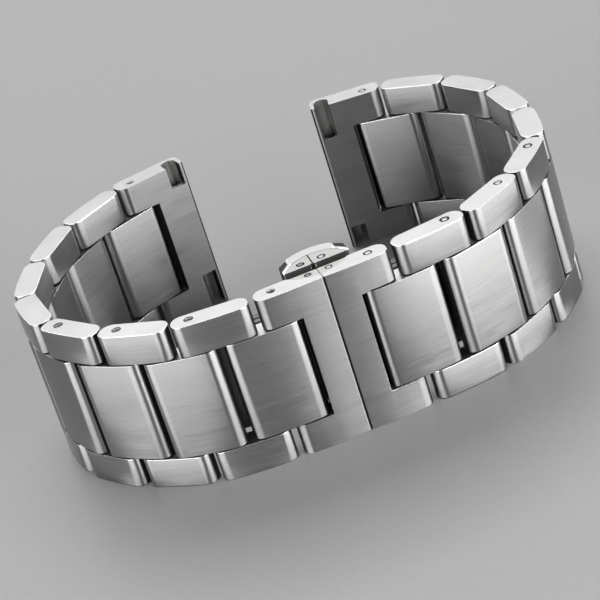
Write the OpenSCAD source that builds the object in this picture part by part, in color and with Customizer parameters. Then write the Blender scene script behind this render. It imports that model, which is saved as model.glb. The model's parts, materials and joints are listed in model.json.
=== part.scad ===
// Link bracelet for a wrist watch, with a butterfly clasp, standing on edge as a closed loop.
// Millimetres, +Z up along the pins. The clasp lies at the front (-Y) and the two ends that
// take the watch lie at the back (+Y). The origin is the middle of the footprint, on the floor.

/* [Bracelet] */
// Width of the bracelet, measured along the pins
link_w = 22; // [18:0.5:26]
// Thickness of the links
link_t = 3.2; // [3:0.1:4]
// Depth of the pin line under the wrist face of the links
pin_depth = 1.4; // [1.2:0.05:1.7]
// Width of the centre links
center_w = 13.6; // [12:0.2:15]
// Gap on each side of a centre link
side_gap = 0.12; // [0.08:0.02:0.3]
// Number of link pairs on each side of the clasp
pair_count = 7; // [5:1:7]

/* [Link shape] */
// Pin spacing of an outer link
outer_pitch = 4.65; // [4.6:0.05:5.2]
// Pin spacing of a centre link
center_pitch = 4.85; // [4.75:0.05:5.4]
// Pin spacing of the outer link beside the clasp
first_outer_pitch = 5.1; // [4.8:0.05:5.6]
// Pin spacing of the centre link that enters the clasp
first_center_pitch = 5.3; // [5.1:0.05:5.6]
// Metal past the pin of an outer link
outer_tip = 2.3; // [2:0.05:2.35]
// Metal past the pin of a centre link
center_tip = 2.2; // [2:0.05:2.3]
// Rounding of the link ends on the wrist side
wrist_round = 1.45; // [1:0.05:1.45]
// Rounding of the link ends on the outer side
outer_round = 1.25; // [1:0.05:1.45]
// Radius of the crown of the outer faces
crown_r = 45; // [30:5:200]

/* [Pins] */
// Diameter of the link pins
pin_d = 1.1; // [0.9:0.05:1.2]
// Clearance round a pin where a link turns on it
pin_run = 0.05; // [0.03:0.01:0.1]
// Metal left over the end of a blind pin
blind_wall = 1.4; // [1:0.1:2.4]
// Depth of the visible pins under the edge on the left side
pin_sink = 0.3; // [0.1:0.05:0.6]
// Number of pairs on each side whose far pin can be pushed out
loose_pairs = 3; // [1:1:5]
// Chamfer on the ends of the pins
pin_chamfer = 0.12; // [0.05:0.01:0.2]

/* [Watch ends] */
// Length from the last pin to the free end
end_len = 7.6; // [7:0.1:9]
// Radius of the bore for the spring bar
bar_bore_r = 1; // [0.8:0.05:1.05]
// Metal between the spring bar bore and the free end
bar_rim = 0.6; // [0.5:0.05:0.8]
// Width of the open notch at each end of the spring bar bore
notch_w = 2.05; // [2:0.05:2.4]
// Depth of the deep notch
deep_notch = 5.1; // [4:0.1:6]
// Depth of the shallow notch
shallow_notch = 3.1; // [2:0.1:4]
// Distance from the last pin to the bottom of the slot for the centre link
end_slot = 2.85; // [2.6:0.05:3.2]
// Rounding of the free end on the wrist side
end_wrist_round = 0.5; // [0.3:0.05:0.8]
// Rounding of the free end on the outer side
end_outer_round = 1.1; // [0.6:0.05:1.4]

/* [Clasp ends] */
// Distance from the seam of the clasp to the first link pin
first_pin = 6.3; // [6:0.05:7]
// Half of the gap at the seam
seam_half = 0.03; // [0.02:0.01:0.08]
// Rounding of the corners at the seam
seam_round = 0.2; // [0.1:0.05:0.3]
// Gap between the cross bar and the first centre link
bar_gap = 0.3; // [0.2:0.05:0.6]
// Thickness of the front wall over the arm pocket
front_wall = 1.15; // [0.9:0.05:1.3]
// Distance from the seam to the arm pin
arm_pin_x = 1.36; // [1.3:0.02:1.5]
// Height of the arm pin over the pin line
arm_pin_y = 0.7; // [0.5:0.05:0.75]
// Diameter of the arm pins
arm_pin_d = 0.95; // [0.8:0.05:1]
// Half of the width of the finger recess
recess_half = 4.1; // [3:0.1:4.4]
// Reach of the finger recess from the wrist face
recess_reach = 2; // [1.2:0.1:2.2]
// Depth of the finger recess
recess_depth = 0.15; // [0.1:0.05:0.5]

/* [Clasp blades] */
// Inset of the arms and of the base from the faces of the centre links
blade_inset = 0.1; // [0.1:0.05:1]
// Thickness of the arms
arm_t = 0.9; // [0.7:0.05:1]
// Gap between the wrist face of the clasp ends and the arms
arm_gap = 0.35; // [0.3:0.05:0.4]
// Thickness of the base
base_t = 1; // [0.8:0.05:1.1]
// Gap between the arms and the base
blade_gap = 0.3; // [0.25:0.05:0.4]
// Distance from the middle of the clasp to each hinge of the base
hinge_x = 15.3; // [14.8:0.1:15.8]
// Rise of the base from its middle to its hinges
blade_rise = 1.35; // [1.2:0.05:1.6]
// Radius of the hinge knuckles
knuckle_r = 0.95; // [0.85:0.05:1]
// Width of the middle knuckle of each base hinge
base_knuckle_w = 6; // [4:0.2:8]
// Diameter of the base hinge pins
hinge_pin_d = 0.9; // [0.7:0.05:1]
// Gap beside the knuckles
knuckle_gap = 0.15; // [0.1:0.05:0.3]
// Clearance round a turning knuckle
knuckle_clear = 0.3; // [0.2:0.05:0.4]
// Radius of the knuckle at the tip of an arm
tip_r = 0.85; // [0.75:0.05:0.9]
// Thickness of the neck that carries the tip knuckle
neck_t = 0.9; // [0.7:0.05:1]
// Inset of the neck from the end of the cross bar
neck_inset = 0.15; // [0.1:0.05:0.3]
// Inset of the ear of an arm from the sides of its knuckle
ear_inset = 0.1; // [0.05:0.05:0.2]

/* [Release] */
// Distance from the wrist face of the clasp ends to the push pieces
latch_gap = 1.4; // [1.2:0.05:1.6]
// Half of the width of the lens shape of the push pieces
lens_half = 4.05; // [3.8:0.05:4.1]
// Height of the lens shape
lens_h = 2.75; // [2.5:0.05:2.85]
// Half of the gap between the two halves of the lens
part_half = 0.08; // [0.05:0.01:0.12]
// Chamfer of the front corners at that gap
part_chamfer = 0.25; // [0.1:0.05:0.4]
// Travel of the push pieces
pusher_travel = 0.8; // [0.4:0.1:1]
// Length of the springs when they are pressed solid
spring_solid = 0.7; // [0.5:0.05:1]
// Clearance round the push pieces
lens_gap = 0.06; // [0.04:0.01:0.15]
// Distance from the middle to each guide pin
guide_x = 1.37; // [1.2:0.02:1.6]
// Height of the guide pins over the front edge of the push pieces
guide_rise = 1; // [0.9:0.05:1.1]
// Diameter of the guide pins
guide_d = 1; // [0.8:0.05:1.1]
// Half of the width of the block that carries the guide pins
block_half = 3.6; // [3:0.05:3.7]
// Height of the block over the lower face of the base
block_h = 1.95; // [1.8:0.05:2.2]
// Outer radius of the springs under the push pieces
spring_r = 0.8; // [0.7:0.05:0.9]

/* [Clasp cover] */
// Distance of the cover and the lens shape from the seam, to the right
cover_shift = 0.43; // [0:0.01:0.5]
// Rim of the cover beside the tips of the lens shape
cover_rim = 0.2; // [0.2:0.05:0.4]
// Height over the front edge where the end bevels begin
bevel_start = 2.55; // [2.3:0.05:2.7]
// Half of the width of the crown of the cover
crown_half = 3.1; // [2.9:0.05:3.3]
// Height over the front edge where the crown begins
bevel_end = 3.6; // [3.4:0.1:3.8]
// Height of the crown of the cover over the front edge
crown_top = 4.5; // [4.3:0.1:4.9]

/* [Hidden] */
// Turn at each hinge of the resting loop, in degrees, from the clasp to the free end
ANGLES_LEFT = [4, 5, 13, 14, 8, 12, 14, 14, 14, 13, 7, 8, 11, 10, 10, 12];
ANGLES_RIGHT = [2, 5, 11, 14, 8, 11, 15, 13, 7, 7, 11, 11, 12, 14, 14, 14];

LEFT = -1;
RIGHT = 1;
SIDES = [LEFT, RIGHT];
// Small overlap that lets a cut run past a face
CUT = 0.5;
// Fineness of round surfaces
$fn = 48;
// Flats along each rounded corner, each crown and each blade
CORNER_STEPS = 6;
CROWN_STEPS = 6;
BLADE_STEPS = 24;
LENS_STEPS = 20;

// Levels across the thickness, with the pin line at zero
wrist_y = pin_depth;
outer_y = pin_depth - link_t;
mid_y = (wrist_y + outer_y) / 2;
front_y = wrist_y + latch_gap;

// Levels along the pins
outer_w = (link_w - center_w) / 2 - side_gap;
center_z = (link_w - center_w) / 2;
blade_w = center_w - 2 * blade_inset;
blade_z = center_z + blade_inset;
pusher_h = blade_z - pusher_travel - spring_solid;

// Clasp ends: the cross bar stops short of the first centre link
cross_end = first_pin - center_tip - bar_gap;
pocket_y = outer_y + front_wall;
recess_r = (recess_half * recess_half + recess_reach * recess_reach) / (2 * recess_reach);

// Blades: both follow arcs about one centre, so that they stay parallel
arm_y = wrist_y + arm_gap + arm_t / 2;
base_y = arm_y + arm_t / 2 + blade_gap + base_t / 2;
base_r = (hinge_x * hinge_x + blade_rise * blade_rise) / (2 * blade_rise);
arm_r = base_r + base_y - arm_y;
blade_center_y = base_y + base_r;
hinge_y = base_y + blade_rise;
ear_x = hinge_x - knuckle_r - knuckle_clear;
ear_half = knuckle_r - ear_inset;
neck_end = cross_end - neck_inset;
base_low = base_y - base_t / 2;
block_top = base_low + block_h;

// Release
lens_r = (lens_half * lens_half + lens_h * lens_h) / (2 * lens_h);
guide_y = front_y + guide_rise;
cover_half = lens_half + cover_rim;
crown_sag = crown_top - bevel_end;
cover_r = (crown_half * crown_half + crown_sag * crown_sag) / (2 * crown_sag);

// The chain of each side: segment 0 is the first centre link and odd segments are outer links
segment_count = 2 * pair_count + 1;
function rest(side) = side == LEFT ? ANGLES_LEFT : ANGLES_RIGHT;
function pitch(i) = i == 0 ? first_center_pitch : i == 1 ? first_outer_pitch
    : i % 2 == 0 ? center_pitch : outer_pitch;
function heading(side, i) = rest(side)[i] + (i == 0 ? 0 : heading(side, i - 1));
function step_of(side, i) = pitch(i) * [cos(heading(side, i)), sin(heading(side, i))];
function pin_at(side, i) = i == 0 ? [first_pin, 0] : pin_at(side, i - 1) + step_of(side, i - 1);
function tip_of(i) = i % 2 == 0 ? center_tip : outer_tip;
function far_x(i) = i == segment_count ? end_len : pitch(i) + tip_of(i);

// Centres of the rounded corners of a segment, which settle the footprint of the loop
function turned(p, a) = [p.x * cos(a) - p.y * sin(a), p.x * sin(a) + p.y * cos(a)];
function corners(side, i) = [for (x = [wrist_round - outer_tip, far_x(i) - wrist_round],
    y = [wrist_y - wrist_round, outer_y + wrist_round])
    let (p = pin_at(side, i) + turned([x, y], heading(side, i))) [side * p.x, p.y]];
all_corners = [for (side = SIDES, i = [1:2:segment_count]) each corners(side, i)];
x_low = min([for (p = all_corners) p.x]) - wrist_round;
x_high = max([for (p = all_corners) p.x]) + wrist_round;
y_high = max([for (p = all_corners) p.y]) + wrist_round;
shift = [-(x_low + x_high) / 2, -(outer_y + y_high) / 2, 0];

function side_name(side) = side == LEFT ? "left" : "right";
function named(stem, side) = str(stem, "_", side_name(side));
function numbered(stem, side, i) = str(stem, "_", side_name(side), "_", i);

// Points along an arc
function arc(middle, r, from, to, steps) = [for (k = [0:steps])
    let (a = from + (to - from) * k / steps) middle + r * [cos(a), sin(a)]];

// Points along an arch that rises over a level chord, from right to left
function arch(top, r, half_chord, steps) =
    let (reach = asin(half_chord / r)) arc(top - [0, r], r, 90 - reach, 90 + reach, steps);

// Placing
module in_frame() translate(shift) children();

module on_side(side) in_frame() mirror([side == LEFT ? 1 : 0, 0, 0]) children();

module at_segment(side, i)
    on_side(side)
        translate(pin_at(side, i))
            rotate([0, 0, heading(side, i)])
                children();

module both_edges() {
    children();
    translate([0, 0, link_w]) mirror([0, 0, 1]) children();
}

// Outline of a link seen along its pins, with a rounding for each corner. The outer face
// is flat, or an arc that rises by the crown between the corners.
function rounded_outline(x0, x1, near_wrist, near_outer, far_wrist, far_outer, crown) = concat(
    arc([x1 - far_wrist, wrist_y - far_wrist], far_wrist, 0, 90, CORNER_STEPS),
    arc([x0 + near_wrist, wrist_y - near_wrist], near_wrist, 90, 180, CORNER_STEPS),
    arc([x0 + near_outer, outer_y + crown + near_outer], near_outer, 180, 270, CORNER_STEPS),
    crown == 0 ? [] : crown_points((x0 + near_outer + x1 - far_outer) / 2,
        (x1 - far_outer - x0 - near_outer) / 2),
    arc([x1 - far_outer, outer_y + crown + far_outer], far_outer, 270, 360, CORNER_STEPS));

// Points of the crown between its two ends
function crown_points(middle, half) =
    let (reach = asin(half / crown_r))
    [for (k = [1:CROWN_STEPS - 1]) let (a = 270 - reach + 2 * reach * k / CROWN_STEPS)
        [middle + crown_r * cos(a), outer_y + crown_r + crown_r * sin(a)]];

function crown_height(half) = crown_r - sqrt(crown_r * crown_r - half * half);
function crown_between(x0, x1) = crown_height((x1 - x0) / 2);

// Outline of an ordinary link
module crowned_outline(x0, x1)
    polygon(rounded_outline(x0, x1, wrist_round, outer_round, wrist_round, outer_round,
        crown_between(x0 + outer_round, x1 - outer_round)));

module pin(d, low, high)
    translate([0, 0, low]) {
        length = high - low;
        translate([0, 0, pin_chamfer]) cylinder(d = d, h = length - 2 * pin_chamfer);
        cylinder(d1 = d - 2 * pin_chamfer, d2 = d, h = pin_chamfer);
        translate([0, 0, length - pin_chamfer])
            cylinder(d1 = d, d2 = d - 2 * pin_chamfer, h = pin_chamfer);
    }

// A pin that can be pushed out is one sink shorter than the width: it lies sunk at the top
// on the left side and flush at the top on the right side
module open_pin(side) pin(pin_d, side == LEFT ? 0 : pin_sink, side == LEFT ? link_w - pin_sink : link_w);

module open_bore() translate([0, 0, -CUT]) cylinder(d = pin_d, h = link_w + 2 * CUT);

module blind_pin() pin(pin_d, blind_wall, link_w - blind_wall);

module blind_bore() translate([0, 0, blind_wall]) cylinder(d = pin_d, h = link_w - 2 * blind_wall);

// Links
module center_link(side, i) {
    segment = 2 * (i - 1);
    color("silver")
        at_segment(side, segment)
            translate([0, 0, center_z])
                difference() {
                    linear_extrude(center_w)
                        crowned_outline(-center_tip, pitch(segment) + center_tip);
                    for (x = [0, pitch(segment)])
                        translate([x, 0, -CUT])
                            cylinder(r = pin_d / 2 + pin_run, h = center_w + 2 * CUT);
                }
}

module outer_links(side, i) {
    segment = 2 * i - 1;
    color("gainsboro")
        at_segment(side, segment)
            difference() {
                both_edges()
                    linear_extrude(outer_w)
                        crowned_outline(-outer_tip, pitch(segment) + outer_tip);
                blind_bore();
                translate([pitch(segment), 0, 0])
                    if (i <= loose_pairs) open_bore();
                    else blind_bore();
            }
}

module link_pins(side, i) {
    segment = 2 * i - 1;
    color("dimgray")
        at_segment(side, segment) {
            blind_pin();
            translate([pitch(segment), 0, 0])
                if (i <= loose_pairs) open_pin(side);
                else blind_pin();
        }
}

// Watch ends: one casting on both sides, turned round on one of them
module spring_bar_bore(top_depth, bottom_depth)
    translate([end_len - bar_rim - bar_bore_r, mid_y, 0]) {
        translate([0, 0, -CUT]) cylinder(r = bar_bore_r, h = link_w + 2 * CUT);
        for (cut = [[-CUT, bottom_depth + CUT], [link_w - top_depth, top_depth + CUT]])
            translate([0, 0, cut[0]])
                linear_extrude(cut[1])
                    polygon(concat(arc([0, 0], notch_w / 2, 180, 360, 2 * CORNER_STEPS),
                        [[notch_w / 2, link_t], [-notch_w / 2, link_t]]));
    }

module end_link(side)
    color("gainsboro")
        at_segment(side, segment_count)
            difference() {
                linear_extrude(link_w)
                    polygon(rounded_outline(-outer_tip, end_len, wrist_round, outer_round,
                        end_wrist_round, end_outer_round, 0));
                translate([-outer_tip - CUT, outer_y - CUT, outer_w])
                    cube([end_slot + outer_tip + CUT, link_t + 2 * CUT, link_w - 2 * outer_w]);
                open_bore();
                spring_bar_bore(side == LEFT ? shallow_notch : deep_notch,
                    side == LEFT ? deep_notch : shallow_notch);
            }

module end_link_pin(side) color("dimgray") at_segment(side, segment_count) open_pin(side);

// Clasp ends: the first piece of each strap half, which meets the other one at the seam
module clasp_end(side)
    color("gainsboro")
        on_side(side)
            difference() {
                linear_extrude(link_w)
                    polygon(rounded_outline(seam_half, first_pin + outer_tip, seam_round, seam_round,
                        wrist_round, outer_round,
                        crown_between(seam_half + seam_round, first_pin + outer_tip - outer_round)));
                // slot for the first centre link
                translate([cross_end, outer_y - CUT, outer_w])
                    cube([first_pin, link_t + 2 * CUT, link_w - 2 * outer_w]);
                // pocket for the tip of the arm
                translate([-CUT, pocket_y, outer_w])
                    cube([first_pin, link_t, link_w - 2 * outer_w]);
                translate([first_pin, 0, 0]) open_bore();
                translate([arm_pin_x, arm_pin_y, -CUT]) cylinder(d = arm_pin_d, h = link_w + 2 * CUT);
                both_edges()
                    translate([0, wrist_y - recess_reach + recess_r, -CUT])
                        cylinder(r = recess_r, h = recess_depth + CUT, $fn = 120);
            }

module clasp_end_pins(side)
    color("dimgray")
        on_side(side) {
            translate([first_pin, 0, 0]) open_pin(side);
            translate([arm_pin_x, arm_pin_y, 0]) pin(arm_pin_d, recess_depth, link_w - recess_depth);
        }

// A blade is a slice of a ring about the common centre, cut square to itself
function blade_angle(x, r) = 270 + asin(x / r);

module blade(middle_r, t, x0, x1) {
    from = blade_angle(x0, middle_r);
    to = blade_angle(x1, middle_r);
    polygon(concat(arc([0, blade_center_y], middle_r + t / 2, from, to, BLADE_STEPS),
        arc([0, blade_center_y], middle_r - t / 2, to, from, BLADE_STEPS)));
}

module base_knuckle_space(z_gap, r)
    translate([hinge_x, hinge_y, link_w / 2])
        cylinder(r = r, h = base_knuckle_w + 2 * z_gap, center = true);

// Arms: a curved blade with a neck that dips into the clasp end
module arm(side)
    color("darkgray")
        on_side(side)
            difference() {
                translate([0, 0, blade_z])
                    linear_extrude(blade_w) {
                        translate([arm_pin_x, arm_pin_y]) circle(tip_r);
                        translate([arm_pin_x, arm_pin_y - neck_t / 2])
                            square([neck_end - arm_pin_x, neck_t]);
                        translate([neck_end - neck_t, arm_pin_y])
                            square([neck_t, arm_y - arm_pin_y]);
                        blade(arm_r, arm_t, neck_end - neck_t, hinge_x + knuckle_r);
                        translate([hinge_x - ear_half, arm_y + blade_rise])
                            square([2 * ear_half, hinge_y - arm_y - blade_rise]);
                        translate([hinge_x, hinge_y]) circle(knuckle_r);
                    }
                base_knuckle_space(knuckle_gap, knuckle_r + knuckle_clear);
                translate([hinge_x, hinge_y, 0]) cylinder(r = hinge_pin_d / 2 + pin_run, h = link_w);
                translate([arm_pin_x, arm_pin_y, 0]) cylinder(r = arm_pin_d / 2 + pin_run, h = link_w);
            }

// Base: the curved blade next to the wrist, with the block that carries the release
module clasp_base()
    color("darkgray")
        in_frame()
            difference() {
                union() {
                    translate([0, 0, blade_z])
                        linear_extrude(blade_w) {
                            blade(base_r, base_t, -ear_x, ear_x);
                            translate([cover_shift - block_half, base_y])
                                square([2 * block_half, block_top - base_y]);
                        }
                    translate([0, 0, (link_w - base_knuckle_w) / 2])
                        linear_extrude(base_knuckle_w) {
                            blade(base_r, base_t, -hinge_x, hinge_x);
                            for (side = SIDES)
                                translate([side * hinge_x, hinge_y]) circle(knuckle_r);
                        }
                }
                for (side = SIDES) {
                    translate([side * hinge_x, hinge_y, 0]) cylinder(d = hinge_pin_d, h = link_w);
                    translate([side * guide_x, guide_y, 0]) cylinder(d = guide_d, h = link_w);
                }
            }

module clasp_pins()
    color("dimgray")
        in_frame()
            for (side = SIDES) {
                translate([side * hinge_x, hinge_y, 0])
                    pin(hinge_pin_d, blade_z + knuckle_gap, link_w - blade_z - knuckle_gap);
                translate([side * guide_x, guide_y, 0]) pin(guide_d, 0, link_w);
            }

// Release: two half lenses at each edge slide on the guide pins against springs
module lens(gap)
    translate([cover_shift, 0])
        polygon(concat(arch([0, front_y + lens_h + gap], lens_r + gap, lens_half, LENS_STEPS),
            [[-lens_half - gap, front_y - gap], [lens_half + gap, front_y - gap]]));

module pusher_pair()
    linear_extrude(pusher_h)
        difference() {
            lens(0);
            translate([-part_half, 0]) square([2 * part_half, 2 * crown_top + front_y]);
            polygon([[-part_half - part_chamfer, front_y], [part_half + part_chamfer, front_y],
                [0, front_y + part_half + part_chamfer]]);
            for (side = SIDES) translate([side * guide_x, guide_y]) circle(guide_d / 2 + pin_run);
        }

module pusher_top() color("silver") in_frame() translate([0, 0, link_w - pusher_h]) pusher_pair();

module pusher_bottom() color("silver") in_frame() pusher_pair();

module pusher_springs()
    color("gray")
        in_frame()
            for (side = SIDES)
                translate([side * guide_x, guide_y, 0])
                    both_edges()
                        translate([0, 0, pusher_h])
                            linear_extrude(blade_z - pusher_h)
                                difference() {
                                    circle(spring_r);
                                    circle(guide_d / 2 + pin_run);
                                }

// Cover: the polished band round the push pieces, seated on the block of the base
module cover_outline()
    translate([cover_shift, 0])
        polygon(concat(
            [[-cover_half, front_y], [cover_half, front_y], [cover_half, front_y + bevel_start]],
            arch([0, front_y + crown_top], cover_r, crown_half, LENS_STEPS),
            [[-cover_half, front_y + bevel_start]]));

module clasp_cover()
    color("whitesmoke")
        in_frame()
            difference() {
                linear_extrude(link_w) cover_outline();
                both_edges()
                    translate([0, 0, -CUT]) linear_extrude(blade_z + CUT - lens_gap) lens(lens_gap);
                // room for the block, whose top carries the cover
                translate([cover_shift - block_half - lens_gap, front_y - CUT, blade_z - 2 * lens_gap])
                    cube([2 * (block_half + lens_gap), block_top - front_y + CUT,
                        blade_w + 4 * lens_gap]);
                // passage for the blade of the base
                translate([-link_w, front_y - CUT, blade_z - 2 * lens_gap])
                    cube([2 * link_w, base_low + base_t + blade_gap - front_y + CUT,
                        blade_w + 4 * lens_gap]);
            }

clasp_base();
clasp_pins();
clasp_cover();
pusher_top();
pusher_bottom();
pusher_springs();
for (side = SIDES) {
    arm(side);
    clasp_end(side);
    clasp_end_pins(side);
    end_link(side);
    end_link_pin(side);
    for (i = [1:pair_count + 1])
        center_link(side, i);
    for (i = [1:pair_count]) {
        outer_links(side, i);
        link_pins(side, i);
    }
}
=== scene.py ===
"""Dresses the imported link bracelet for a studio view.

Its links, clasp and pins are brushed and polished steel, and it stands on a pale floor."""

import json
import math

import bmesh
import bpy
from mathutils import Matrix, Vector


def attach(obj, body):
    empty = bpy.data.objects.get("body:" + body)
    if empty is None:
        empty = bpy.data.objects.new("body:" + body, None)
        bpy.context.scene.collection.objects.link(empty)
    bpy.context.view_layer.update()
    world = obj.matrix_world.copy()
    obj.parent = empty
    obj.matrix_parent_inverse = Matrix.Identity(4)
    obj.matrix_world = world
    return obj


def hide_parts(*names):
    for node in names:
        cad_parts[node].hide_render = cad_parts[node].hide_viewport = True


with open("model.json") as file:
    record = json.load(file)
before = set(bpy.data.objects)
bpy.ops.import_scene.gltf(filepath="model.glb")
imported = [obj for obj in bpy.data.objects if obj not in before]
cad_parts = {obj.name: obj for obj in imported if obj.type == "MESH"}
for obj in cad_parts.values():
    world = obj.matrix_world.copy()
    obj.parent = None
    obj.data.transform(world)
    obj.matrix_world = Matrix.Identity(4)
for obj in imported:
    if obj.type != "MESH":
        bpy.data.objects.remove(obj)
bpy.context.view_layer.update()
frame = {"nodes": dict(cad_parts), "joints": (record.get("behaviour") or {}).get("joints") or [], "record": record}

MM = 0.001
ALONG = Vector((1, 0, 0))
UP = Vector((0, 0, 1))
MIDDLE = Vector((0, 0, 11)) * MM
HINGES = 16

record = frame["record"]
joint_named = {joint["name"]: joint for joint in frame["joints"]}
body_of = {node: body for body, nodes in record["behaviour"]["bodies"].items() for node in nodes}
slot_of = {part["node"]: part["material_slot"] for part in record["subparts"]}

# Camera, as the photograph was taken: long lens, from above, rolled so that the pins lean
VIEW_AZIMUTH = -8.0
VIEW_ELEVATION = 26.5
VIEW_ROLL = -18.09
LENS = 145.9
SENSOR_WIDTH = 36.0
CLIP_START, CLIP_END = 0.01, 10.0
CAMERA_SPOT = Vector((-40.58, -283.17, 149.7)) * MM

# Roundings of the sharp edges
EDGE_ROUND = 0.10 * MM
CENTER_ROUND = 0.13 * MM
UNDER_ROUND = 0.17 * MM
PIN_ROUND = 0.06 * MM
COVER_ROUND = 0.08 * MM
PUSHER_ROUND = 0.12 * MM
SPRING_ROUND = 0.03 * MM
# Corners this near are merged first, and faces that turn by fewer degrees become one
WELD = 0.0005 * MM
FLAT_TURN = 0.5
# Degrees of turn from which an edge is rounded, and from which the shading breaks at it
SHARP_CORNER = 28.0
SHADE_CORNER = 34.0
# Weight of the satin edges in the shading, so that a rounding doesn't tilt them
STRONG = 16384

# Upward part of a face's normal: past the first the face is level, and below the second it
# is a wall
LEVEL = 0.95
WALL = 0.15
# Part of a normal that points to one side, from which a face takes the finish of that side
FACING = 0.3
# The same for the roundings under a link, and for those at the end of the bracelet, which get painted shade
UNDER_TURN = 0.2
END_RIM_TURN = 0.7
# Sine of the turn from a broad face at which the polished end begins, and where painted shade takes its place
CROWN_TURN = 0.12
DEEP_TURN = 0.96
# Sine of the turn from the broad face at which the rounding of the bracelet's end gets painted shade
END_TURN = 0.5

# Heights from the middle: level faces between the two lie in the clasp ends' finger
# recesses, and what lies past the second is at the edge of the bracelet
RECESS_HEIGHT = 10.5 * MM
EDGE_HEIGHT = 10.9 * MM
# Reach of a pin's hole and of a spring bar's notch round their axes
HOLE_REACH = 0.7 * MM
NOTCH_REACH = 1.15 * MM
# The seam of the clasp: how far its rounding with painted shade reaches, how far left of it
# the pins get painted shade, and where the clasp's front begins
SEAM_REACH = 0.25 * MM
DARK_PINS = 10 * MM
CLASP_FRONT = -20 * MM

# The walls of the clasp ends' slots: how square to the seam they face, their area, and how
# far the crown's flats are slid off them
SLOT_WALL_TURN = 0.99
SLOT_WALL_LEAST = 5 * MM * MM
SLOT_WALL_MOST = 30 * MM * MM
SLOT_EASE = 0.25 * MM
# A corner this near a wall's plane is in the wall
WALL_REACH = 0.06 * MM
# The wall of an end link's slot: its distance from the hinge, half its height and a bit, how
# far it is brought nearer, and how far its outer edge is
SLOT_REACH = 2.85 * MM
SLOT_HALF = 7.5 * MM
SLOT_CLOSE = 0.3 * MM
SLOT_LIP = 0.72 * MM

# The facets of the cover: half the crown between them, where they start above its front,
# the way they run, how far they drop, and the flat that blends into their slope
CROWN_HALF = 3.1 * MM
FACET_START = 0.78 * MM
FACET_RUN = 0.617
FACET_RISE = 0.787
FACET_DROP = 0.15 * MM
FACET_BLEND = 0.3 * MM
# Corners this far past the start of a facet drop with it
FACET_MARGIN = 0.1 * MM
# Upward part of the normal of a facet, while it is cut and in the finished cover
FACET_STEEPEST = 0.8
FACET_FLATTEST = 0.9999
COVER_FLAT = 0.9995
# How near a height or a plane counts as on it, and how near corners are merged in a cut
ON_PLANE = 0.01 * MM
CUT_WELD = 0.001 * MM

# Stretch of the noise for the brushed lines: fine ones, coarse ones and broad bands
FINE_LINES = (300, 300, 9000)
COARSE_LINES = (170, 170, 4800)
BROAD_BANDS = (45, 45, 620)
# Share of each in the lines and in the slow unevenness under them
FINE_SHARE, COARSE_SHARE = 0.6, 0.4
CLOUD_SHARE, BROAD_SHARE = 0.20, 0.25
# Stretch that turns the level lines into lines along the pins
UPRIGHT_RUN = (14, 14, 0.05)
# Fineness of the clouds under the lines, and of the smears and specks of handling
CLOUDS = 170.0
SMEARS, SMEAR_SHARE = 420.0, 0.8
SPECKS, SPECK_SHARE = 2600.0, 0.4
# The value round which a noise swings
NOISE_MIDDLE = 0.5
# How much darker and paler than its colour a steel gets, and how much duller
DARK_LINES = 0.80
PALE_LINES = 1.18
DULL_LINES = 0.25
LINE_HEIGHT = 0.02 * MM
# Amount of handling marks on every steel
MARKS = 0.05
# Shine of bare metal, and of the finishes that are none
METAL_SHINE = 0.5
MATT_SHINE = 0.12
# How far the sheen of the brushing is turned, as a part of a full turn
QUARTER_TURN = 0.25

# The floor: half its side in metres, the colours between which its grain runs, how fine
# and how high the grain is, and how dull the floor is
FLOOR_HALF = 3.0
FLOOR_DARK = (0.39, 0.39, 0.40)
FLOOR_PALE = (0.44, 0.44, 0.45)
FLOOR_GRAIN = 900.0
FLOOR_RELIEF = 0.1
FLOOR_GRAIN_HEIGHT = 0.05 * MM
FLOOR_ROUGHNESS = 0.42
# The dim light from all round
WORLD_COLOUR = (0.5, 0.5, 0.51, 1)
WORLD_GLOW = 0.30


def new_material(name):
    """An empty node material with one Principled shader, wired to its output."""
    material = bpy.data.materials.new(name)
    material.use_nodes = True
    tree = material.node_tree
    tree.nodes.clear()
    shader = tree.nodes.new("ShaderNodeBsdfPrincipled")
    output = tree.nodes.new("ShaderNodeOutputMaterial")
    tree.links.new(shader.outputs["BSDF"], output.inputs["Surface"])
    return material, tree, shader


def group_tree(name, inputs, outputs):
    """A shader node group with the named inputs and outputs."""
    tree = bpy.data.node_groups.new(name, "ShaderNodeTree")
    for label, kind, value in inputs:
        socket = tree.interface.new_socket(label, in_out="INPUT", socket_type=kind)
        if value is not None:
            socket.default_value = value
    for label, kind in outputs:
        tree.interface.new_socket(label, in_out="OUTPUT", socket_type=kind)
    return tree, tree.nodes.new("NodeGroupInput"), tree.nodes.new("NodeGroupOutput")


def math_node(tree, operation, first, second, clamp=False):
    """One Math node whose inputs are sockets or numbers."""
    node = tree.nodes.new("ShaderNodeMath")
    node.operation = operation
    node.use_clamp = clamp
    for slot, value in enumerate((first, second)):
        if isinstance(value, (int, float)):
            node.inputs[slot].default_value = value
        else:
            tree.links.new(value, node.inputs[slot])
    return node.outputs[0]


def weighted_sum(tree, first, first_share, second, second_share):
    """The sum of two sockets, each times its share."""
    return math_node(tree, "ADD", math_node(tree, "MULTIPLY", first, first_share),
                     math_node(tree, "MULTIPLY", second, second_share))


def swing(tree, value, share):
    """A noise value turned into an amount above and below nothing, times its share."""
    centred = math_node(tree, "SUBTRACT", value, NOISE_MIDDLE)
    return math_node(tree, "MULTIPLY", centred, share)


def noise(tree, vector, scale, detail=3.0, roughness=0.5):
    """A noise texture's value."""
    node = tree.nodes.new("ShaderNodeTexNoise")
    node.inputs["Scale"].default_value = scale
    node.inputs["Detail"].default_value = detail
    node.inputs["Roughness"].default_value = roughness
    tree.links.new(vector, node.inputs["Vector"])
    return node.outputs["Fac"]


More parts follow.
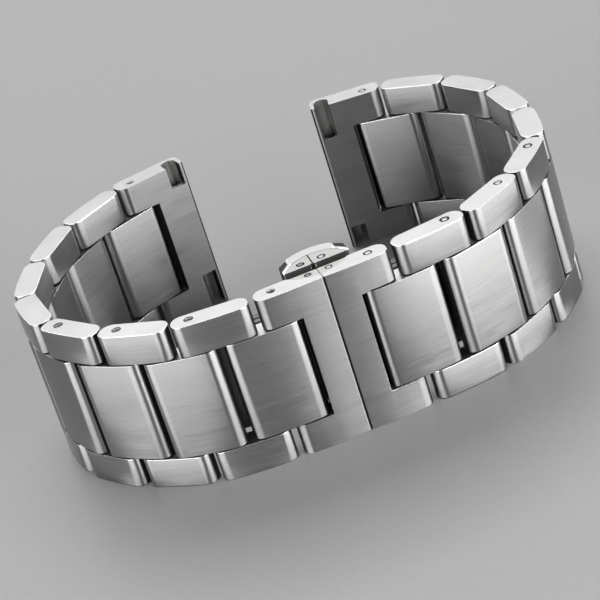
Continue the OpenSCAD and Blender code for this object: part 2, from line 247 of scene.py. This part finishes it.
def stretched(tree, vector, scale):
    """Coordinates scaled by different amounts along X, Y and Z."""
    node = tree.nodes.new("ShaderNodeMapping")
    node.inputs["Scale"].default_value = scale
    tree.links.new(vector, node.inputs["Vector"])
    return node.outputs["Vector"]


def colour_between(tree, shader, share, dark, pale):
    """Gives the shader a colour that goes from dark to pale with the share."""
    mix = tree.nodes.new("ShaderNodeMix")
    mix.data_type = "RGBA"
    mix.inputs["A"].default_value = (*dark, 1)
    mix.inputs["B"].default_value = (*pale, 1)
    tree.links.new(share, mix.inputs["Factor"])
    tree.links.new(mix.outputs["Result"], shader.inputs["Base Color"])


def relief_from(tree, shader, height, strength, distance):
    """Gives the shader a fine relief that follows a height."""
    relief = tree.nodes.new("ShaderNodeBump")
    relief.inputs["Strength"].default_value = strength
    relief.inputs["Distance"].default_value = distance
    tree.links.new(height, relief.inputs["Height"])
    tree.links.new(relief.outputs["Normal"], shader.inputs["Normal"])


def brushing_group():
    """Fine lines of a brushed finish, and the slow unevenness that lies under them.

    The lines run level round the loop, so they change quickly along the pins and slowly
    across them. Depth is how strongly they stand out, and Tone how strongly they show."""
    tree, given, result = group_tree(
        "brushed_lines",
        [("Vector", "NodeSocketVector", None), ("Depth", "NodeSocketFloat", 1.0),
         ("Tone", "NodeSocketFloat", 1.0)],
        [("Height", "NodeSocketFloat"), ("Shade", "NodeSocketFloat")])
    place = given.outputs["Vector"]
    fine = noise(tree, stretched(tree, place, FINE_LINES), 1.0, 4.0, 0.65)
    coarse = noise(tree, stretched(tree, place, COARSE_LINES), 1.0, 3.0, 0.6)
    broad = noise(tree, stretched(tree, place, BROAD_BANDS), 1.0, 2.0)
    cloud = noise(tree, place, CLOUDS, 2.0)
    lines = weighted_sum(tree, fine, FINE_SHARE, coarse, COARSE_SHARE)
    centred = math_node(tree, "SUBTRACT", lines, NOISE_MIDDLE)
    height = math_node(tree, "MULTIPLY", centred, given.outputs["Depth"])
    tree.links.new(height, result.inputs["Height"])
    slow = weighted_sum(tree, cloud, CLOUD_SHARE, broad, BROAD_SHARE)
    slow_middle = (CLOUD_SHARE + BROAD_SHARE) * NOISE_MIDDLE
    uneven = math_node(tree, "ADD", centred, math_node(tree, "SUBTRACT", slow, slow_middle))
    shade = math_node(tree, "MULTIPLY", uneven, given.outputs["Tone"])
    tree.links.new(shade, result.inputs["Shade"])
    return tree


def wear_group():
    """Smears and specks of handling, the same on every finish."""
    tree, given, result = group_tree(
        "handling_marks",
        [("Vector", "NodeSocketVector", None), ("Amount", "NodeSocketFloat", 1.0)],
        [("Mask", "NodeSocketFloat")])
    smear = noise(tree, given.outputs["Vector"], SMEARS, 4.0, 0.6)
    speck = noise(tree, given.outputs["Vector"], SPECKS, 2.0, 0.5)
    total = math_node(tree, "ADD", swing(tree, smear, SMEAR_SHARE),
                      swing(tree, speck, SPECK_SHARE))
    mask = math_node(tree, "MULTIPLY", total, given.outputs["Amount"])
    tree.links.new(mask, result.inputs["Mask"])
    return tree


BRUSHING = brushing_group()
WEAR = wear_group()


def steel(name, colour, roughness, anisotropy, line_depth, line_tone, bump=0.15, metal=1.0,
          upright=False):
    """Stainless steel: a metal whose brushing shows in its colour, roughness and relief.

    The brushing runs level, or along the pins where it is upright."""
    material, tree, shader = new_material(name)
    place = tree.nodes.new("ShaderNodeTexCoord").outputs["Object"]
    lines = tree.nodes.new("ShaderNodeGroup")
    lines.node_tree = BRUSHING
    run = stretched(tree, place, UPRIGHT_RUN) if upright else place
    tree.links.new(run, lines.inputs["Vector"])
    lines.inputs["Depth"].default_value = line_depth
    lines.inputs["Tone"].default_value = line_tone
    marks = tree.nodes.new("ShaderNodeGroup")
    marks.node_tree = WEAR
    tree.links.new(place, marks.inputs["Vector"])
    marks.inputs["Amount"].default_value = MARKS
    shade = math_node(tree, "ADD", math_node(tree, "ADD", lines.outputs["Shade"], 0.5),
                      marks.outputs["Mask"], clamp=True)
    colour_between(tree, shader, shade, [part * DARK_LINES for part in colour],
                   [min(part * PALE_LINES, 1.0) for part in colour])
    dull = math_node(tree, "MULTIPLY", lines.outputs["Shade"], DULL_LINES)
    rough = math_node(tree, "ADD", dull,
                      math_node(tree, "ADD", marks.outputs["Mask"], roughness))
    tree.links.new(rough, shader.inputs["Roughness"])
    shader.inputs["Metallic"].default_value = metal
    shader.inputs["Specular IOR Level"].default_value = METAL_SHINE if metal else MATT_SHINE
    shader.inputs["Anisotropic"].default_value = anisotropy
    if anisotropy:
        tangent = tree.nodes.new("ShaderNodeTangent")
        tangent.direction_type = "RADIAL"
        tangent.axis = "Z"
        shader.inputs["Anisotropic Rotation"].default_value = QUARTER_TURN
        tree.links.new(tangent.outputs["Tangent"], shader.inputs["Tangent"])
    relief_from(tree, shader, lines.outputs["Height"], bump, LINE_HEIGHT)
    return material


# Each finish: material's name, colour, roughness, anisotropy, depth and tone of the lines
FINISHES = {
    "brushed": steel("brushed_face", (0.43, 0.43, 0.425), 0.46, 0.85, 1.0, 2.5, bump=0.25),
    "satin": steel("satin_edge", (0.49, 0.49, 0.49), 0.36, 0.0, 0.3, 0.8),
    "polished": steel("polished_round", (0.50, 0.50, 0.50), 0.42, 0.95, 0.2, 0.2),
    "bevel": steel("polished_bevel", (0.84, 0.84, 0.84), 0.25, 0.0, 0.1, 0.1),
    "mirror": steel("polished_cover", (0.80, 0.80, 0.80), 0.10, 0.0, 0.1, 0.1),
    # Painted shade: near black, for faces deep in the gaps between links and under them
    "deep": steel("shaded_end", (0.018, 0.018, 0.018), 0.50, 0.0, 0.3, 0.3, metal=0.0),
    "notch": steel("machined_notch", (0.60, 0.60, 0.58), 0.38, 0.0, 1.0, 4.0, upright=True),
    "pin": steel("ground_pin", (0.42, 0.42, 0.42), 0.28, 0.0, 0.4, 0.4),
    # Painted shade on the blade where the links cover it
    "shaded_blade": steel("painted_shade_blade", (0.12, 0.12, 0.12), 0.36, 0.6, 1.0, 1.2),
    # Painted shade on the pins left of the seam
    "painted_shade_pin": steel("painted_shade_pin", (0.16, 0.16, 0.155), 0.34, 0.0, 0.5, 1.2),
    # Painted shade: black, for holes, slopes, hidden walls and the gap round the push pieces
    "painted_black_shade": steel("painted_gap_shade", (0.008, 0.008, 0.008), 0.50, 0.0, 0.3, 0.3, metal=0.0),
    # Painted dark reflection on the cover's facets
    "facet": steel("painted_dark_reflection", (0.012, 0.012, 0.013), 0.35, 0.0, 0.2, 0.2, metal=0.0),
    "lens": steel("satin_lens", (0.40, 0.40, 0.39), 0.33, 0.0, 0.3, 0.25),
    # Painted shade on the push pieces' sides
    "lens_side_shade": steel("painted_shade_lens_side", (0.30, 0.30, 0.29), 0.25, 0.6, 0.5, 0.6),
    "blade": steel("brushed_blade", (0.30, 0.30, 0.30), 0.30, 0.6, 1.0, 0.8),
}
FINISH_NAMES = list(FINISHES)


def side_of(node):
    """The half of the bracelet that a node belongs to."""
    return "left" if "left" in node else "right"


def hinge_spot(side, number):
    """Where a link hinge lies. The hinges are counted from the clasp."""
    return Vector(joint_named[f"hinge_{side}_{number}"]["pos_m"])


HOLE_AXES = [Vector(joint["pos_m"]) for joint in frame["joints"] if joint["type"] == "hinge"]
BARS = {mount["name"]: Vector(mount["pos_m"]) for mount in record["mounts"]
        if mount["kind"] == "bore"}
BAR_AXES = list(BARS.values())
SEAM = max(corner.co.x for corner in frame["nodes"]["clasp_end_left"].data.vertices)
cover_spots = [corner.co for corner in frame["nodes"]["clasp_cover"].data.vertices]
COVER_MIDDLE = sum(cover_spots, Vector()) / len(cover_spots)


def heading_of(node):
    """Direction of a link along the loop, at rest, from the axes at its two ends."""
    if node.startswith("clasp_end"):
        return ALONG
    side = side_of(node)
    if node.startswith("end_link"):
        way = BARS[f"spring_bar_bore_{side}"] - hinge_spot(side, HINGES)
    else:
        # Centre link n lies between hinges 2n - 1 and 2n, outer links n between 2n and 2n + 1
        first = 2 * int(node.split("_")[-1]) - (1 if node.startswith("center_link") else 0)
        way = hinge_spot(side, first + 1) - hinge_spot(side, first)
    way.z = 0
    return way.normalized()


def near(place, axes, reach):
    """Whether a place lies within reach of one of the upright axes."""
    return any((place - axis).xy.length < reach for axis in axes)


def link_finish(face, way):
    """Finish of a link's face: satin on the edges, brushed on the broad faces, polished on
    the rounded ends, which get painted shade where they face the next link."""
    normal, place = face.normal, face.calc_center_median()
    if abs(normal.z) > LEVEL:
        return "lens" if RECESS_HEIGHT < abs(place.z - MIDDLE.z) < EDGE_HEIGHT else "satin"
    # Sloping faces get painted black shade
    if abs(normal.z) > WALL:
        return "painted_black_shade"
    if near(place, HOLE_AXES, HOLE_REACH) or near(place, BAR_AXES, NOTCH_REACH):
        return "notch"
    across = abs(normal.dot(way))
    # Along the seam, the rounding that faces left gets painted shade
    if place.y < CLASP_FRONT and abs(place.x - SEAM) < SEAM_REACH and across > FACING:
        if across > DEEP_TURN:
            return "blade"
        return "deep" if normal.x < 0 else "polished"
    # Walls square to the next link get painted shade
    if across > DEEP_TURN:
        return "deep"
    return "brushed" if across < CROWN_TURN else "polished"


def end_link_finish(face, way):
    """Finish of an end link's face: its end is plain steel, with painted shade where it rounds."""
    finish = link_finish(face, way)
    outward = face.normal.dot(way)
    if finish == "deep" and outward > DEEP_TURN:
        return "blade"
    return "deep" if finish == "polished" and outward > END_TURN else finish


def cover_finish(face):
    """Polished, with a painted dark reflection on the facets and painted shade on the walls of the space for the
    push pieces.
    """
    inward = (COVER_MIDDLE - face.calc_center_median()).xy.dot(face.normal.xy) > 0
    if inward and abs(face.normal.z) < LEVEL:
        return "painted_black_shade"
    return "facet" if LEVEL < abs(face.normal.z) < COVER_FLAT else "mirror"


def pusher_finish(face):
    """Satin on the push pieces' ends, with painted shade round their sides."""
    return "lens" if abs(face.normal.z) > LEVEL else "lens_side_shade"


def blade_finish(face):
    """Brushed, with painted shade on the edges and on the face that the links cover."""
    covered = face.normal.y < -FACING or abs(face.normal.z) > LEVEL
    return "shaded_blade" if covered else "blade"


def pin_finish(face):
    """Ground ends, with painted shade beside the seam on its left and on the sides."""
    if abs(face.normal.z) < LEVEL:
        return "painted_black_shade"
    place = face.calc_center_median()
    return "painted_shade_pin" if -DARK_PINS < place.x - SEAM < 0 and place.y < 0 else "pin"


def rim_finish(face, node):
    """Finish of a rounded corner: polished, with painted shade round the pins' holes, under a
    link, at the ends of the bracelet and between the push pieces and the cover."""
    normal, place = face.normal, face.calc_center_median()
    if node == "clasp_cover":
        return cover_finish(face)
    if "pin" in node or near(place, HOLE_AXES, HOLE_REACH):
        return "painted_black_shade"
    if normal.z < -UNDER_TURN:
        return "deep"
    if node.startswith("pusher") and normal.y > FACING:
        return "painted_black_shade"
    if node.startswith("end_link") and not near(place, BAR_AXES, NOTCH_REACH + EDGE_ROUND):
        if normal.dot(heading_of(node)) > END_RIM_TURN:
            return "deep"
        if (MIDDLE - place).xy.normalized().dot(normal.xy) > FACING:
            return "satin"
    return "bevel"


def sharp_edges(shape, skip=()):
    """Outer corners of a shape, without those of the faces to skip."""
    done = {line for face in skip if face.is_valid for line in face.edges}
    return [line for line in shape.edges
            if line not in done and len(line.link_faces) == 2 and line.is_convex
            and line.calc_face_angle(0.0) > math.radians(SHARP_CORNER)]


def under_edges(shape):
    """Outer corners on the underside of what lies in the upper half of a shape."""
    return [line for line in sharp_edges(shape)
            if any(face.normal.z < -LEVEL for face in line.link_faces)
            and line.verts[0].co.z > MIDDLE.z]


def round_off(shape, lines, reach):
    """Rounds some edges of a shape, and gives the faces that this makes."""
    return bmesh.ops.bevel(shape, geom=lines, offset=reach, offset_type="OFFSET", segments=2,
                           profile=0.5, affect="EDGES", clamp_overlap=True,
                           material=-1)["faces"]


def finished_copy(node, body, finish, edge_round=EDGE_ROUND, rims=True, change=None):
    """A welded, bevelled and smoothly shaded copy of a CAD node that stands for it.

    The finish names the material of each face, and change is what is done to the shape
    before its edges are rounded. With rims, the roundings get finishes of their own."""
    shape = bmesh.new()
    shape.from_mesh(frame["nodes"][node].data)
    bmesh.ops.remove_doubles(shape, verts=shape.verts, dist=WELD)
    bmesh.ops.dissolve_limit(shape, angle_limit=math.radians(FLAT_TURN), verts=shape.verts,
                             edges=shape.edges, use_dissolve_boundaries=False)
    shape.normal_update()
    for face in shape.faces:
        face.material_index = FINISH_NAMES.index(finish(face))
        face.smooth = True
    if change:
        change(shape)
    rounded = round_off(shape, under_edges(shape), UNDER_ROUND) if rims else []
    rounded += round_off(shape, sharp_edges(shape, skip=rounded), edge_round)
    shape.normal_update()
    rounded = [face for face in rounded if face.is_valid]
    for face in rounded:
        face.smooth = True
        if rims and FINISH_NAMES[face.material_index] not in ("painted_black_shade", "facet"):
            face.material_index = FINISH_NAMES.index(rim_finish(face, node))
    weight = shape.faces.layers.int.new("__mod_weightednormals_faceweight")
    for face in shape.faces:
        face[weight] = STRONG if FINISH_NAMES[face.material_index] in ("satin", "lens") else 0
    mesh = bpy.data.meshes.new(node + "_finished")
    shape.to_mesh(mesh)
    shape.free()
    for material in FINISHES.values():
        mesh.materials.append(material)
    mesh.set_sharp_from_angle(angle=math.radians(SHADE_CORNER))
    piece = bpy.data.objects.new(node + "_finished", mesh)
    bpy.context.scene.collection.objects.link(piece)
    weighted = piece.modifiers.new("weighted", "WEIGHTED_NORMAL")
    weighted.keep_sharp = True
    if node.startswith(("center_link", "outer_links")):
        weighted.mode = "CORNER_ANGLE"
        weighted.use_face_influence = True
    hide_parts(node)
    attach(piece, body)


def ease_crown(shape):
    """Slides the flats of the crown that end at the slot's wall away from it, so that the
    rounding of the wall's edge has room."""
    for wall in [face for face in shape.faces if abs(face.normal.x) > SLOT_WALL_TURN]:
        middle = wall.calc_center_median()
        if abs(middle.z - MIDDLE.z) > MM:
            continue
        if not SLOT_WALL_LEAST < wall.calc_area() < SLOT_WALL_MOST:
            continue
        for corner in shape.verts:
            at_edge = abs(corner.co.z - MIDDLE.z) > EDGE_HEIGHT
            if at_edge and abs(corner.co.x - middle.x) < WALL_REACH:
                corner.co.x -= math.copysign(SLOT_EASE, wall.normal.x)


def close_slot(shape, hinge, way):
    """Brings the wall of an end link's slot up to the last centre link, its outer edge
    most of all."""
    outward = way.cross(UP)
    if outward.dot(hinge - MIDDLE) < 0:
        outward = -outward
    for corner in shape.verts:
        out = corner.co - hinge
        in_wall = abs(out.dot(way) - SLOT_REACH) < WALL_REACH
        if in_wall and abs(corner.co.z - MIDDLE.z) < SLOT_HALF:
            corner.co -= way * (SLOT_LIP if out.dot(outward) > 0 else SLOT_CLOSE)


def level_faces(shape, height):
    """Faces whose middle lies at a height."""
    return [face for face in shape.faces
            if abs(face.calc_center_median().z - height) < ON_PLANE]


def cut(shape, faces, spot, way):
    """Cuts some faces of a shape along the plane through a spot that faces one way."""
    edges = {edge for face in faces for edge in face.edges}
    corners = {corner for face in faces for corner in face.verts}
    bmesh.ops.bisect_plane(shape, geom=[*faces, *edges, *corners], dist=CUT_WELD,
                           plane_co=spot, plane_no=way)


def cut_facets(shape):
    """The two sloping facets at the ends of the cover, at both of its edges, given a painted dark reflection."""
    spots = [corner.co for corner in shape.verts]
    low = Vector([min(spot[i] for spot in spots) for i in range(3)])
    high = Vector([max(spot[i] for spot in spots) for i in range(3)])
    middle = (low.x + high.x) / 2
    for side in (-1, 1):
        outward = Vector((side * FACET_RISE, FACET_RUN, 0))
        start = Vector((middle + side * (high.x - low.x) / 2, low.y + FACET_START, 0))
        crown_end = middle + side * CROWN_HALF
        for edge_z in (low.z, high.z):
            cut(shape, level_faces(shape, edge_z), Vector((crown_end, 0, 0)), ALONG)
            outer = [face for face in level_faces(shape, edge_z)
                     if side * (face.calc_center_median().x - crown_end) > 0]
            cut(shape, outer, start, outward)
            blend_end = Vector((crown_end - side * FACET_BLEND, 0, 0))
            cut(shape, level_faces(shape, edge_z), blend_end, ALONG)
            for corner in shape.verts:
                beyond = side * (corner.co.x - crown_end) > -ON_PLANE
                level = abs(corner.co.z - edge_z) < ON_PLANE
                if beyond and level and (corner.co - start).dot(outward) > FACET_MARGIN:
                    corner.co.z -= math.copysign(FACET_DROP, edge_z - MIDDLE.z)
            shape.normal_update()
            for face in shape.faces:
                spot = face.calc_center_median()
                beyond = side * (spot.x - crown_end) > 0
                sloping = FACET_STEEPEST < abs(face.normal.z) < FACET_FLATTEST
                # The sloping facets get the painted dark reflection
                if beyond and sloping and abs(spot.z - edge_z) < 2 * FACET_DROP:
                    face.material_index = FINISH_NAMES.index("facet")


def dress_link(node, body):
    """Finishes a link, an end link or a clasp end along its own direction."""
    way = heading_of(node)
    finish, change = link_finish, None
    if node.startswith("clasp_end"):
        change = ease_crown
    elif node.startswith("end_link"):
        hinge = hinge_spot(side_of(node), HINGES)
        finish, change = end_link_finish, lambda shape: close_slot(shape, hinge, way)
    edge_round = CENTER_ROUND if node.startswith("center_link") else EDGE_ROUND
    finished_copy(node, body, lambda face: finish(face, way), edge_round, change=change)


for node in frame["nodes"]:
    body, slot = body_of[node], slot_of[node]
    if "pin" in node:
        finished_copy(node, body, pin_finish, PIN_ROUND)
    elif node.startswith(("center_link", "outer_links", "end_link", "clasp_end")):
        dress_link(node, body)
    elif node == "clasp_cover":
        finished_copy(node, body, cover_finish, COVER_ROUND, change=cut_facets)
    elif node == "pusher_springs":
        # The springs inside get painted black shade all over
        finished_copy(node, body, lambda face: "painted_black_shade", SPRING_ROUND, rims=False)
    elif node.startswith("pusher"):
        finished_copy(node, body, pusher_finish, PUSHER_ROUND)
    else:
        finished_copy(node, body, blade_finish, rims=False)


def floor():
    """The plain pale floor."""
    shape = bmesh.new()
    bmesh.ops.create_grid(shape, x_segments=2, y_segments=2, size=FLOOR_HALF)
    mesh = bpy.data.meshes.new("floor")
    shape.to_mesh(mesh)
    shape.free()
    sheet = bpy.data.objects.new("floor", mesh)
    bpy.context.scene.collection.objects.link(sheet)
    material, tree, shader = new_material("pale_floor")
    place = tree.nodes.new("ShaderNodeTexCoord").outputs["Object"]
    grain = noise(tree, place, FLOOR_GRAIN, 4.0, 0.6)
    colour_between(tree, shader, grain, FLOOR_DARK, FLOOR_PALE)
    shader.inputs["Roughness"].default_value = FLOOR_ROUGHNESS
    relief_from(tree, shader, grain, FLOOR_RELIEF, FLOOR_GRAIN_HEIGHT)
    mesh.materials.append(material)


def around(azimuth, elevation, distance):
    """A spot round the object, with the azimuth counted as the views count it."""
    turn, rise = math.radians(azimuth), math.radians(elevation)
    level = math.cos(rise)
    return Vector((math.sin(turn) * level, -math.cos(turn) * level, math.sin(rise))) * distance


def softbox(name, azimuth, elevation, distance, width, height, glow):
    """A soft rectangular lamp that faces the object. Glow is the brightness of its face."""
    lamp = bpy.data.lights.new(name, "AREA")
    lamp.shape = "RECTANGLE"
    lamp.size = width
    lamp.size_y = height
    lamp.energy = glow * math.pi * width * height
    holder = bpy.data.objects.new(name, lamp)
    bpy.context.scene.collection.objects.link(holder)
    way = around(azimuth, elevation, distance)
    holder.location = MIDDLE + way
    holder.rotation_mode = "QUATERNION"
    holder.rotation_quaternion = (-way).to_track_quat("-Z", "Y")


def studio():
    """Broad lamps at both sides and behind, and a dark gap round the camera, which gives
    the links their light and dark bands."""
    softbox("back_key", 176, 52, 0.60, width=0.55, height=0.35, glow=3.3)
    softbox("back_panel", 172, 24, 0.70, width=1.1, height=0.4, glow=0.80)
    softbox("left_box", -58, 12, 0.60, width=0.68, height=0.30, glow=4.1)
    softbox("right_box", 46, 12, 0.60, width=0.87, height=0.30, glow=5.6)
    world = bpy.data.worlds.new("studio")
    bpy.context.scene.world = world
    world.use_nodes = True
    background = world.node_tree.nodes["Background"]
    background.inputs["Color"].default_value = WORLD_COLOUR
    background.inputs["Strength"].default_value = WORLD_GLOW


def camera():
    """The photograph's camera: placed, aimed by its angles, then rolled about its own axis."""
    lens = bpy.data.cameras.new("camera")
    lens.lens = LENS
    lens.sensor_width = SENSOR_WIDTH
    lens.clip_start, lens.clip_end = CLIP_START, CLIP_END
    holder = bpy.data.objects.new("camera", lens)
    bpy.context.scene.collection.objects.link(holder)
    back = around(VIEW_AZIMUTH, VIEW_ELEVATION, 1.0)
    holder.rotation_mode = "QUATERNION"
    aim = (-back).to_track_quat("-Z", "Y").to_matrix().to_4x4()
    roll = Matrix.Rotation(math.radians(VIEW_ROLL), 4, "Z")
    holder.matrix_world = Matrix.Translation(CAMERA_SPOT) @ aim @ roll
    bpy.context.scene.camera = holder


floor()
studio()
camera()
bpy.context.scene.view_settings.view_transform = "Standard"
